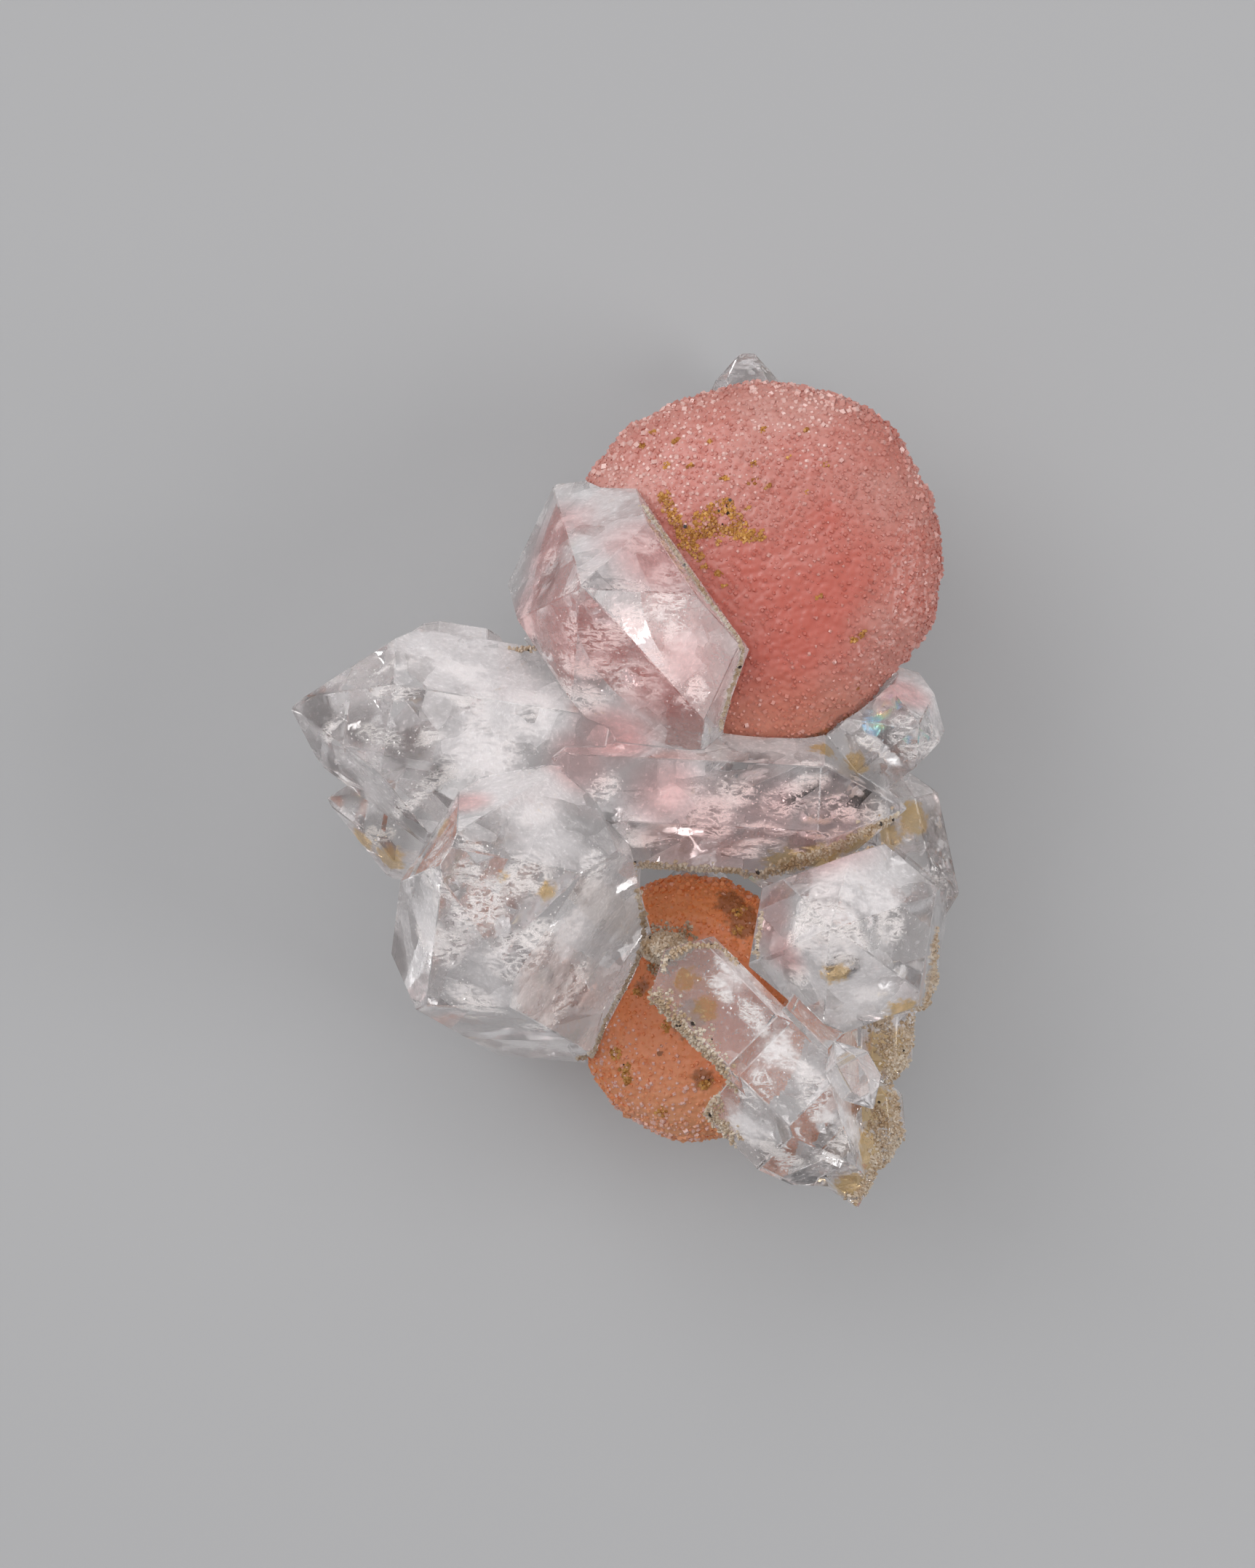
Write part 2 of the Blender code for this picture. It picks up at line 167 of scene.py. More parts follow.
FLASHES = [
    ((-8.4, 13.6, 22.4), 2.2, 4.6, 15, 55), ((0.5, 8.5, 27.0), 2, 2.5, 20, 30),
    ((-1.5, 14.8, 27.6), 2.6, 2, -10, 25), ((-6.0, 10.6, 24.4), 2.6, 1.4, -30, 40),
    ((-19.7, 4.6, 22.4), 1.6, 2.0, 20, 40), ((-22.6, 2.0, 18.6), 2, 1.5, 0, 50),
    ((-15.8, -0.4, 20.6), 3.4, 1.2, 30, 55), ((-5.0, -14.5, 24.8), 2.5, 3, 60, 35),
    ((-10.5, -12.0, 30.0), 2, 2.6, -30, 30), ((-2.4, -18.6, 18.4), 3, 1.8, 40, 45),
    ((-15.6, -8.0, 25.6), 1.5, 4, -20, 60), ((-0.5, -3.6, 23.6), 2.5, 3, 20, 35),
    ((15.5, -3.2, 22.8), 3, 2, 0, 35), ((18.3, -1.0, 20.8), 2.5, 2, 30, 40),
    ((10.5, 0.2, 23.4), 3, 1.5, 10, 40), ((21.6, 2.6, 20.8), 3.6, 1.5, -45, 40),
    ((22.8, 7.4, 18.6), 1.8, 2.2, 30, 35), ((25.6, -6.5, 12.0), 2.0, 4.6, 0, 50),
    ((25.4, -3.8, 11.4), 1.8, 2, 30, 45), ((17.6, -15.0, 26.6), 3, 2, 10, 30),
    ((18.4, -11.5, 26.4), 2, 2, -40, 35), ((20.6, -16.2, 21.8), 3, 2, 35, 35),
    ((15.0, -11.0, 26.4), 2, 3, 15, 35), ((16.0, -28.2, 22.6), 3, 2.6, -20, 30),
    ((17.8, -25.6, 23.2), 2, 2.4, -45, 35), ((13.0, -28.0, 22.0), 3, 1.5, -45, 40),
    ((19.2, -30.2, 17.6), 2, 2, 0, 30), ((11.0, 33.6, 4.6), 2, 2, 0, 35),
]
SHELLS = [((-6.2, 16.0, 24.6), 5.4, 5.4, 0, 22)]
RAINBOWS = [((21.0, 4.9, 21.4), 3.2, 3.6, 30, 30), ((22.8, 5.6, 19.6), 2.2, 3.4, -10, 40)]

# Lines of the tan crust on the quartz, seen from above, by the half width of the crust.
CRUST_LINES = {
    0.3: [
        [(1.3, 22.3), (2.6, 20.5), (3.8, 18.7), (5.1, 16.9), (6.3, 15.1), (7.6, 13.3), (9.0, 11.5),
         (9.5, 10.5), (9.2, 8.9), (8.5, 7.1), (8.0, 5.3), (7.7, 3.9)],
        [(0.8, -9.3), (1.4, -12.1), (1.5, -13.0), (1.0, -14.8), (0.2, -16.7), (-0.8, -18.5), (-1.8, -20.3),
         (-2.5, -22.2), (-3.0, -23.3), (-4.2, -23.6)],
        [(11.2, -11.2), (10.9, -13.0), (10.7, -14.8)],
        [(2.9, -16.0), (3.4, -14.6), (5.2, -13.8), (7.5, -13.9), (9.0, -15.3)],
        [(-9.4, 10.4), (-7.8, 10.6)],
    ],
    0.6: [
        [(1.1, -7.2), (4.0, -7.6), (6.0, -7.7), (8.1, -7.8), (11.1, -8.0), (13.5, -7.3), (17.4, -5.7),
         (22.3, -3.2)],
    ],
    0.8: [
        [(2.4, -17.8), (2.8, -18.7), (3.7, -19.6), (5.5, -21.4), (7.3, -23.2), (8.5, -25.2)],
        [(7.4, -26.5), (6.9, -27.8), (7.8, -28.7), (8.8, -29.6)],
        [(21.2, -20.5), (21.8, -23.0), (22.0, -25.5)],
        [(20.8, -27.5), (21.3, -30.0), (20.4, -32.4)],
        [(25.4, -13.7), (25.6, -16.4), (25.0, -18.5), (23.9, -20.0), (23.0, -22.5), (22.7, -25.0)],
        [(22.2, -26.7), (22.4, -29.7), (21.5, -32.1), (20.1, -33.6), (18.9, -34.6)],
    ],
}

# The crusted corner at the end of the lower right prism: its middle and half sizes.
CORNER_LUMP = ((3.2, -14.2, 18.0), (1.9, 1.1, 6.0))

# Lines of the tan crust on the lower disc, beside that corner.
FOOT_LINES = [
    [(1.8, -13.2), (3.4, -13.2), (5.4, -13.1)],
    [(1.9, -13.6), (2.3, -14.8), (2.8, -16.4)],
    [(2.6, -13.6), (2.8, -14.6), (3.0, -15.4)],
    [(3.2, -13.6), (3.4, -14.2), (4.8, -13.5)],
]

# Lines and single spots of the ochre crust on the upper disc, seen from above.
OCHRE_LINES = [
    [(3.2, 23.2), (4.1, 21.3), (4.9, 19.3), (5.9, 18.2)],
    [(4.6, 19.9), (6.8, 20.4), (8.9, 20.1), (10.8, 19.8)],
    [(5.9, 21.1), (8.0, 22.4), (9.0, 21.3), (9.8, 19.9)],
]
OCHRE_SPOTS = [
    (1.2, 27.2), (3.9, 27.7), (5.2, 25.6), (7.9, 24.6), (10.4, 25.7), (11.5, 23.8), (10.3, 24.3),
    (7.5, 19.3), (7.5, 16.8), (6.3, 17.3), (8.0, 15.7), (9.7, 22.0), (16.2, 25.6), (14.6, 23.4),
    (3.2, 25.6), (2.1, 28.5), (6.8, 27.7), (18.7, 11.3), (19.3, 11.7), (15.8, 14.8), (14.7, 28.5),
    (11.1, 28.5), (13.2, 26.3),
]
RIM_LINE = [(14.6, 2.9), (16.6, 3.4), (18.9, 5.0), (21.2, 6.4), (22.8, 8.0)]
LOWER_SPOTS = [
    (-1.0, -23.2), (-0.2, -24.4), (0.0, -25.3), (3.3, -20.8), (6.4, -25.6), (0.8, -18.0), (9.1, -12.9),
    (9.3, -11.2), (2.7, -28.0),
]

# Where the discs are stained by the ochre, and where their grains are palest.
UPPER_RUST = [
    ((3.6, 22.2, 24.0), 1.4), ((4.8, 20.2, 24.0), 1.5), ((5.9, 18.4, 24.0), 1.2), ((7.4, 20.4, 24.5), 1.2),
    ((8.9, 20.8, 24.5), 1.3), ((18.9, 4.6, 20.0), 2.6), ((21.6, 6.6, 19.5), 2.4), ((16.2, 3.2, 20.5), 2.2),
]
LOWER_RUST = [
    ((9.9, -12.0, 12.7), 2.8), ((8.8, -10.4, 12.3), 2.2), ((-0.4, -24.2, 13.0), 1.4),
    ((5.0, -20.4, 13.4), 2.4), ((6.4, -25.2, 13.0), 1.6), ((1.2, -17.4, 13.2), 1.4),
]
UPPER_FROST = [
    ((5.0, 27.0, 22.0), 9.0), ((14.0, 30.0, 22.0), 7.0), ((0.5, 24.5, 21.0), 6.0),
    ((23.0, 24.0, 19.0), 5.0), ((25.6, 15.5, 18.0), 4.5),
]
LOWER_FROST = [
    ((2.6, -27.0, 11.5), 8.0), ((-1.5, -23.0, 11.5), 4.0),
]


class Wire:
    """A socket of a node tree, so that the maths of a material reads as plain expressions."""

    def __init__(self, graph, socket):
        self.graph = graph
        self.socket = socket

    def out(self, name):
        """Another output of the same node."""
        return Wire(self.graph, self.socket.node.outputs[name])

    def math(self, operation, *values):
        """The result of a Math node."""
        sockets = {index: value for index, value in enumerate(values)}
        return self.graph.add("ShaderNodeMath", {"operation": operation}, sockets)

    def __add__(self, other):
        return self.math("ADD", self, other)

    def __radd__(self, other):
        return self.math("ADD", other, self)

    def __sub__(self, other):
        return self.math("SUBTRACT", self, other)

    def __rsub__(self, other):
        return self.math("SUBTRACT", other, self)

    def __mul__(self, other):
        return self.math("MULTIPLY", self, other)

    def __rmul__(self, other):
        return self.math("MULTIPLY", other, self)

    def __truediv__(self, other):
        return self.math("DIVIDE", self, other)

    def __abs__(self):
        return self.math("ABSOLUTE", self)

    def largest(self, other):
        """The larger of two values."""
        return self.math("MAXIMUM", self, other)

    def smallest(self, other):
        """The smaller of two values."""
        return self.math("MINIMUM", self, other)

    def limited(self):
        """The value kept between 0 and 1."""
        return self.largest(0.0).smallest(1.0)

    def rise(self, low, high):
        """A smooth step from 0 at low to 1 at high."""
        settings = {"interpolation_type": "SMOOTHSTEP"}
        return self.graph.add("ShaderNodeMapRange", settings, {0: self, 1: low, 2: high, 3: 0.0, 4: 1.0})


class Graph:
    """A node tree that is filled from code."""

    def __init__(self, tree):
        self.tree = tree

    def add(self, kind, settings=None, sockets=None, output=0):
        """Add a node: its settings come first, then the values or links of its sockets."""
        node = self.tree.nodes.new(kind)
        for name, value in (settings or {}).items():
            if name == "stops":
                self.set_stops(node, value)
            else:
                setattr(node, name, value)
        for name, value in (sockets or {}).items():
            if isinstance(value, Wire):
                self.tree.links.new(value.socket, node.inputs[name])
            else:
                node.inputs[name].default_value = value
        if not node.outputs:
            return None
        return Wire(self, node.outputs[output])

    def set_stops(self, node, stops):
        """Colours of a ramp: pairs of place and colour."""
        elements = node.color_ramp.elements
        while len(elements) < len(stops):
            elements.new(0.5)
        for element, (place, colour) in zip(elements, stops):
            element.position = place
            element.color = colour

    def mix(self, factor, first, second):
        """A mix of two colours."""
        sockets = {0: factor, 6: first, 7: second}
        return self.add("ShaderNodeMix", {"data_type": "RGBA"}, sockets, output=2)

    def vector(self, operation, first, second, output=0):
        """The result of a Vector Math node."""
        settings = {"operation": operation}
        return self.add("ShaderNodeVectorMath", settings, {0: first, 1: second}, output=output)

    def place(self):
        """Where a point lies on the piece, in millimetres."""
        point = self.add("ShaderNodeTexCoord").out("Object")
        return self.add("ShaderNodeMapping", None, {"Vector": point, "Scale": (PER_MM, PER_MM, PER_MM)})

    def noise(self, point, scale, detail=3.0, rough=0.55, warp=0.0):
        """Soft noise between 0 and 1."""
        sockets = {"Vector": point, "Scale": scale, "Detail": detail, "Roughness": rough,
                   "Distortion": warp}
        return self.add("ShaderNodeTexNoise", None, sockets)

    def near(self, point, spots):
        """1 in the middle of the nearest of some spots, 0 at its radius and beyond."""
        nearest = None
        for middle, radius in spots:
            away = self.vector("DISTANCE", point, middle, output=1) / radius
            nearest = away if nearest is None else nearest.smallest(away)
        return (1.0 - nearest).limited()


def new_material(name):
    """An empty material and its graph."""
    material = bpy.data.materials.new(name)
    material.use_nodes = True
    material.node_tree.nodes.clear()
    return material, Graph(material.node_tree)


def end_material(graph, shader, volume=None):
    """Join the shader to the material's output."""
    sockets = {"Surface": shader}
    if volume is not None:
        sockets["Volume"] = volume
    graph.add("ShaderNodeOutputMaterial", None, sockets)


def quartz_material(settings):
    """Clear quartz with milky clouds, feathery wisps and honey stains, with painted pink light from the discs
    beneath, painted facet shading in its haze and a faint painted glow in its milky parts.
    """
    material, graph = new_material("quartz")
    place = graph.place()
    facing = graph.add("ShaderNodeTexCoord").out("Normal")
    inward = graph.add("ShaderNodeVectorMath", {"operation": "SCALE"}, {0: facing, "Scale": -HAZE_DEPTH})
    sunk = graph.vector("ADD", place, inward)
    drift = graph.add("ShaderNodeTexNoise", None, {"Vector": sunk, "Scale": 0.25, "Detail": 2.0}, output=1)
    push = graph.add("ShaderNodeVectorMath", {"operation": "SCALE"}, {0: drift, "Scale": 2.5})
    moved = graph.vector("ADD", sunk, push)
    # Haze that differs from face to face by each face's direction, partly painted shading that makes the
    # faces differ in brightness.
    facet_haze_and_shade = graph.noise(facing, 1.9, 0.0)
    cloud = graph.noise(sunk, 0.22, 2.0, 0.5)
    mottle = graph.noise(moved, 0.8, 4.0, 0.6)
    fine = graph.noise(place, 1.6, 3.0)
    speckle = graph.noise(moved, 2.4, 5.0, 0.7)
    clear = (graph.near(place, CLEAR_PATCHES) + (mottle - 0.5) * 0.5).rise(0.12, 0.5)
    milky = graph.near(place, MILKY_PATCHES) + (cloud - 0.5) * 0.8
    milky = milky + (facet_haze_and_shade - 0.5) * 1.5 + (mottle - 0.5) * 0.7
    veil = graph.add("ShaderNodeTexVoronoi", {"feature": "F1"}, {"Vector": moved, "Scale": 0.42}, output=1)
    veil = graph.add("ShaderNodeSeparateColor", None, {0: veil})
    milky = (milky + 0.10 + (veil - 0.5) * 0.5).rise(0.0, 1.0) * (0.30 + speckle * 1.35)
    # Painted pink light of the discs seen through the quartz, in both the clear and the milky parts.
    rose = graph.near(place, PAINTED_ROSE_PATCHES).rise(0.0, 0.75)
    stain = (graph.near(place, STAINS) * 2.0 + (fine - 0.5) * 2.0 + (cloud - 0.5) * 1.2).rise(0.40, 1.1)
    stain = (stain * (0.55 + speckle)).limited()
    milk = settings.base_milk + milky * settings.cloud_milk + speckle.rise(0.54, 0.72) * settings.wisp_milk
    milk = (milk * (1.0 - clear * 0.92) + stain * 0.12).limited()
    # The clearest windows take the smoky tint: partly the quartz's own smoky colour, partly painted shade for
    # the dark seen through them.
    tint = graph.mix(clear, settings.clear_tint, settings.smoky_and_shaded_tint)
    tint = graph.mix(rose, tint, settings.painted_rose_tint)
    tint = graph.mix(stain, tint, settings.honey)
    milk_colour = graph.mix(rose * 0.95, settings.milk_tint, settings.painted_rose_milk)
    milk_colour = graph.mix(stain, milk_colour, settings.ochre)
    cells = graph.add("ShaderNodeTexVoronoi", {"feature": "F1"}, {"Vector": moved, "Scale": 0.9})
    wrinkle = graph.near(place, WRINKLED).rise(0.0, 0.5)
    height = cells * wrinkle * 0.16 + graph.noise(place, 0.45, 2.0) * 0.02
    normal = graph.add("ShaderNodeBump", None, {"Strength": 1.0, "Distance": MM, "Height": height})
    clear_shader = graph.add("ShaderNodeBsdfPrincipled", None, {
        "Base Color": tint, "Roughness": 0.01 + fine * 0.02, "IOR": settings.ior,
        "Transmission Weight": 1.0, "Normal": normal})
    # The milky quartz gives off a faint painted glow in its own colour.
    milk_shader = graph.add("ShaderNodeBsdfPrincipled", None, {
        "Base Color": milk_colour, "Roughness": 0.35, "IOR": settings.ior, "Transmission Weight": 0.15,
        "Coat Weight": 1.0, "Coat Roughness": 0.03, "Normal": normal, "Emission Color": milk_colour,
        "Emission Strength": settings.painted_milk_glow})
    both = graph.add("ShaderNodeMixShader", None, {0: milk, 1: clear_shader, 2: milk_shader})
    depth = graph.add("ShaderNodeVolumeAbsorption", None, {
        "Color": settings.depth_colour, "Density": settings.depth_strength})
    end_material(graph, both, depth)
    return material


def sheet_edge(graph):
    """1 in the middle of a thin sheet and 0 at its border, by the sheet's own UV map."""
    flat = graph.add("ShaderNodeTexCoord").out("UV")
    away = graph.vector("DISTANCE", flat, (0.5, 0.5, 0.0), output=1)
    return 1.0 - away.rise(0.26, 0.5)


def feather_material(settings):
    """White feathery streaks of a healed fracture, with a painted glow."""
    material, graph = new_material("feathers")
    place = graph.place()
    drawn = graph.add("ShaderNodeMapping", None, {
        "Vector": place, "Rotation": (0.0, 0.0, 0.6), "Scale": (1.0, 2.6, 1.0)})
    streak = graph.noise(drawn, 0.62, 6.0, 0.68, 0.6)
    patch = graph.noise(place, 0.45, 3.0)
    lines = (1.0 - abs(streak - 0.52) * 12.0).limited()
    cover = (lines * 0.9 + (patch - 0.46) * 1.6).limited() * sheet_edge(graph) * settings.cover
    # The streaks give off a painted glow in their own colour.
    shader = graph.add("ShaderNodeBsdfPrincipled", None, {
        "Base Color": settings.feather, "Roughness": 0.3, "IOR": 1.5, "Alpha": cover,
        "Emission Color": settings.feather, "Emission Strength": 0.28})
    end_material(graph, shader)
    return material


def flake_material(settings):
    """Tiny bright flakes along the fractures, with a painted glow."""
    material, graph = new_material("flakes")
    grain = graph.add("ShaderNodeNewGeometry").out("Random Per Island")
    shader = graph.add("ShaderNodeBsdfPrincipled", None, {
        "Base Color": graph.mix(grain, settings.feather, settings.flash), "Metallic": grain.rise(0.4, 0.6),
        "Roughness": 0.45 - grain * 0.3, "Emission Color": settings.feather, "Emission Strength": 0.25})
    end_material(graph, shader)
    return material


def flash_material(name, settings, rainbow=False):
    """Angular silvery flashes of an open fracture, or its rainbow colours, with a painted glow in their own
    colour.
    """
    material, graph = new_material(name)
    place = graph.place()
    bent = graph.vector("ADD", place, graph.add("ShaderNodeTexNoise", None, {
        "Vector": place, "Scale": 0.8, "Detail": 2.0}, output=1))
    cells = graph.add("ShaderNodeTexVoronoi", {"feature": "F1"}, {"Vector": bent, "Scale": 1.1}, output=1)
    share = graph.add("ShaderNodeSeparateColor", None, {0: cells})
    patch = graph.noise(place, 0.7, 4.0, 0.65)
    cover = (share.rise(0.35, 0.5) * 0.8 + (patch - 0.5) * 1.6).limited() * sheet_edge(graph)
    colour = settings.flash
    if rainbow:
        bands = graph.noise(place, 0.42, 2.0, 0.5, 0.8)
        colour = graph.add("ShaderNodeValToRGB", {"stops": [
            (0.30, (0.55, 0.35, 0.75, 1.0)), (0.40, (0.25, 0.60, 0.80, 1.0)), (0.47, (0.45, 0.80, 0.55, 1.0)),
            (0.53, (0.85, 0.75, 0.40, 1.0)), (0.60, (0.90, 0.40, 0.55, 1.0)), (0.68, (0.65, 0.35, 0.85, 1.0)),
        ]}, {0: bands})
    # A painted glow in the flash colour.
    shader = graph.add("ShaderNodeBsdfPrincipled", None, {
        "Base Color": colour, "Metallic": 0.7, "Roughness": 0.12 + patch * 0.1, "Alpha": cover,
        "Emission Color": colour, "Emission Strength": 0.16})
    end_material(graph, shader)
    return material


def disc_material(name, settings, tones, disc, spots):
    """Pink skin, deeper rose in patches, warmer at the foot and stained by the ochre; its grains are paler,
    partly as painted highlight on their tops.
    """
    deep, pale, warm = tones
    middle, radius, _ = disc
    rust_spots, frost_spots = spots
    grains = name.endswith("grains")
    material, graph = new_material(name)
    place = graph.place()
    patch = graph.noise(place, 0.10, 3.0, 0.5)
    fine = graph.noise(place, 1.8, 3.0)
    away = graph.vector("DISTANCE", place, middle, output=1) / radius
    height = graph.add("ShaderNodeSeparateXYZ", None, {0: place}).out("Y")
    colour = graph.mix((patch.rise(0.38, 0.64) * 0.6 + away.rise(0.55, 1.05) * 0.75).limited(), deep, pale)
    foot = (middle[1] - height).rise(radius * 0.45, radius)
    colour = graph.mix(foot * 0.75, colour, warm)
    frosty = graph.near(place, frost_spots).rise(0.0, 0.8)
    shine = fine
    if grains:
        grain = graph.add("ShaderNodeNewGeometry").out("Random Per Island")
        # Grains are paler than the skin, partly painted highlight where their tops catch the light; the
        # palest take the frost colour, partly as painted glints.
        colour = graph.mix((grain * 0.45).limited(), colour, pale)
        colour = graph.mix((grain * 0.85 + frosty * 0.5).rise(0.70, 1.0) * 0.80, colour, settings.frost_and_glint)
        shine = grain
    colour = graph.mix(frosty * 0.12, colour, settings.frost_and_glint)
    rust = (graph.near(place, rust_spots) + (fine - 0.5) * 0.9).rise(0.25, 0.6)
    specks = graph.noise(place, 0.8, 2.0, 0.6).rise(0.76, 0.78)
    colour = graph.mix((rust * 0.85).largest(specks), colour, settings.rust)
    shader = graph.add("ShaderNodeBsdfPrincipled", None, {
        "Base Color": colour, "Roughness": 0.42 - shine.rise(0.2, 1.0) * 0.27, "IOR": 1.65,
        "Subsurface Weight": 0.0 if grains else 0.25, "Subsurface Radius": (1.0, 0.42, 0.30),
        "Subsurface Scale": 0.8 * MM})
    end_material(graph, shader)
    return material


def crust_material(name, light, dark, speck):
    """Grains of several tones, with dark specks here and there."""
    material, graph = new_material(name)
    place = graph.place()
    grain = graph.add("ShaderNodeNewGeometry").out("Random Per Island")
    patch = graph.noise(place, 0.35, 3.0)
    colour = graph.mix((grain * 0.75 + (patch - 0.5) * 2.0 + 0.1).limited(), dark, light)
    colour = graph.mix(grain.rise(0.985, 0.99), colour, speck)
    shader = graph.add("ShaderNodeBsdfPrincipled", None, {
        "Base Color": colour, "Roughness": 0.6 - grain * 0.3, "IOR": 1.55})
    end_material(graph, shader)
    return material


def choose(thing):
    """Make one object the only selected one."""
    bpy.ops.object.select_all(action="DESELECT")
    thing.select_set(True)
    bpy.context.view_layer.objects.active = thing


def apply_modifiers(thing):
    """Turn an object's modifiers into its mesh."""
    choose(thing)
    for modifier in list(thing.modifiers):
        bpy.ops.object.modifier_apply(modifier=modifier.name)


def remove(thing):
    """Take a helper object out of the file."""
    bpy.data.objects.remove(thing, do_unlink=True)


def merged_copy(node, name):
    """A copy of a solid's mesh with its triangles joined into faces."""
    piece = bpy.data.objects.new(name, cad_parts[node].data.copy())
    bpy.context.scene.collection.objects.link(piece)
    piece.data.materials.clear()
    choose(piece)
    bpy.ops.object.mode_set(mode="EDIT")
    bpy.ops.mesh.select_all(action="SELECT")
    bpy.ops.mesh.customdata_custom_splitnormals_clear()
    bpy.ops.mesh.remove_doubles(threshold=0.001 * MM)
    bpy.ops.mesh.dissolve_limited(angle_limit=math.radians(0.4))
    bpy.ops.mesh.normals_make_consistent(inside=False)
    bpy.ops.object.mode_set(mode="OBJECT")
    return piece


def join_pieces(pieces, name):
    """Join several objects into the first."""
    bpy.ops.object.select_all(action="DESELECT")
    for piece in pieces:
        piece.select_set(True)
    bpy.context.view_layer.objects.active = pieces[0]
    if len(pieces) > 1:
        bpy.ops.object.join()
    pieces[0].name = name
    return pieces[0]


def add_displacement(thing, name, size, strength):
    """Soft lumps of a given size, pushed in and out of the surface."""
    texture = bpy.data.textures.new(name, "CLOUDS")
    texture.noise_scale = size
    texture.noise_depth = 2
    modifier = thing.modifiers.new(name, "DISPLACE")
    modifier.texture = texture
    modifier.texture_coords = "LOCAL"
    modifier.strength = strength
    modifier.mid_level = 0.5


def make_rhomb(name):
    """A small rhomb about 1 m across that stands on its corner, later scaled down."""
    bpy.ops.object.select_all(action="DESELECT")
    bpy.ops.mesh.primitive_cube_add(size=0.62, rotation=(math.radians(45), math.radians(-35.26), 0))
    rhomb = bpy.context.object
    rhomb.name = name
    bpy.ops.object.transform_apply(location=True, rotation=True, scale=True)
    bpy.ops.object.mode_set(mode="EDIT")
    bpy.ops.mesh.select_all(action="SELECT")
    bpy.ops.transform.resize(value=(1.0, 1.0, 0.8))
    bpy.ops.object.mode_set(mode="OBJECT")
    return rhomb


def make_corner(name, height, sides=3, top=0.0):
    """A leaning grain 1 m across, pointed or blunt, with its foot just under the surface it grows on."""
    bpy.ops.object.select_all(action="DESELECT")
    bpy.ops.mesh.primitive_cone_add(vertices=sides, radius1=0.58, radius2=top, depth=height,
                                    location=(0, 0, height * 0.5 - 0.14))
    corner = bpy.context.object
    corner.name = name
    bpy.ops.object.transform_apply(location=True, rotation=True, scale=True)
    choose_points(corner, lambda place: place.z > 0)
    bpy.ops.object.mode_set(mode="EDIT")
    bpy.ops.transform.translate(value=(0.12, 0.05, 0.0))
    bpy.ops.object.mode_set(mode="OBJECT")
    return corner


def add_domes(thing, name, size, height):
    """A druse of low rounded crystals, each about as wide as the given size."""
    texture = bpy.data.textures.new(name, "VORONOI")
    texture.noise_scale = size
    texture.distance_metric = "DISTANCE"
    modifier = thing.modifiers.new(name, "DISPLACE")
    modifier.texture = texture
    modifier.texture_coords = "LOCAL"
    modifier.strength = -height
    modifier.mid_level = 0.35


def choose_points(thing, test):
    """Select the points of a mesh whose place passes a test."""
    choose(thing)
    bpy.ops.object.mode_set(mode="EDIT")
    bpy.ops.mesh.select_all(action="DESELECT")
    bpy.ops.mesh.select_mode(type="VERT")
    bpy.ops.object.mode_set(mode="OBJECT")
    for point in thing.data.vertices:
        point.select = test(point.co)


def make_guide(name, lines, spots, carrier):
    """Lines that follow the topmost surface under points seen from above, as a mesh of edges."""
    points = []
    edges = []
    for line in lines:
        for start, end in zip(line, line[1:]):
            reach = math.dist(start, end)
            steps = max(1, round(reach / LINE_STEP))
            for step in range(steps + 1):
                share = step / steps
                where = top_point(carrier, [a * (1 - share) + b * share for a, b in zip(start, end)])
                if where is None:
                    continue
                points.append(where)
                if len(points) > 1 and (points[-1] - points[-2]).length < 1.5 * MM:
                    edges.append((len(points) - 2, len(points) - 1))
    for spot in spots:
        middle = top_point(carrier, spot)
        if middle is None:
            raise RuntimeError(f"nothing lies under {spot}")
        points.append(middle)
        points.append(middle + Vector((0.2 * MM, 0.1 * MM, 0)))
        edges.append((len(points) - 2, len(points) - 1))
    mesh = bpy.data.meshes.new(name)
    mesh.from_pydata(points, edges, [])
    guide = bpy.data.objects.new(name, mesh)
    bpy.context.scene.collection.objects.link(guide)
    return guide


def top_point(carrier, spot):
    """The highest surface point under a place seen from above, in metres, or None beside the object."""
    start = Vector((spot[0] * MM, spot[1] * MM, 0.1))
    hit, where, _, _ = carrier.ray_cast(start, Vector((0, 0, -1)))
    return where if hit else None


def start_growth(name):
    """A Geometry Nodes tree, its graph and its incoming surface or points."""
    tree = bpy.data.node_groups.new(name, "GeometryNodeTree")
    tree.interface.new_socket("Geometry", in_out="INPUT", socket_type="NodeSocketGeometry")
    tree.interface.new_socket("Geometry", in_out="OUTPUT", socket_type="NodeSocketGeometry")
    graph = Graph(tree)
    return graph, graph.add("NodeGroupInput")


def set_grains(graph, points, upright, grain, sizes, seed, tilt):
    """Put a grain of random size and lean on every point."""
    scale = graph.add("FunctionNodeRandomValue", {"data_type": "FLOAT"},
                      {2: sizes[0], 3: sizes[1], "Seed": seed + 1}, output=1)
    lean = math.radians(tilt)
    turn = graph.add("FunctionNodeRandomValue", {"data_type": "FLOAT_VECTOR"},
                     {0: (-lean, -lean, 0.0), 1: (lean, lean, math.tau), "Seed": seed + 2})
    turned = graph.add("FunctionNodeRotateRotation", {"rotation_space": "LOCAL"}, {0: upright, 1: turn})
    instances = graph.add("GeometryNodeInstanceOnPoints", None, {
        "Points": points, "Instance": shape_of(graph, grain), "Rotation": turned, "Scale": scale})
    result = graph.add("GeometryNodeRealizeInstances", None, {"Geometry": instances})
    graph.add("NodeGroupOutput", None, {0: result})


def end_growth(name, mesh, graph):
    """The grains of a tree as a piece of their own."""
    piece = bpy.data.objects.new(name, mesh)
    bpy.context.scene.collection.objects.link(piece)
    piece.data.materials.clear()
    modifier = piece.modifiers.new(name, "NODES")
    modifier.node_group = graph.tree
    apply_modifiers(piece)
    return piece


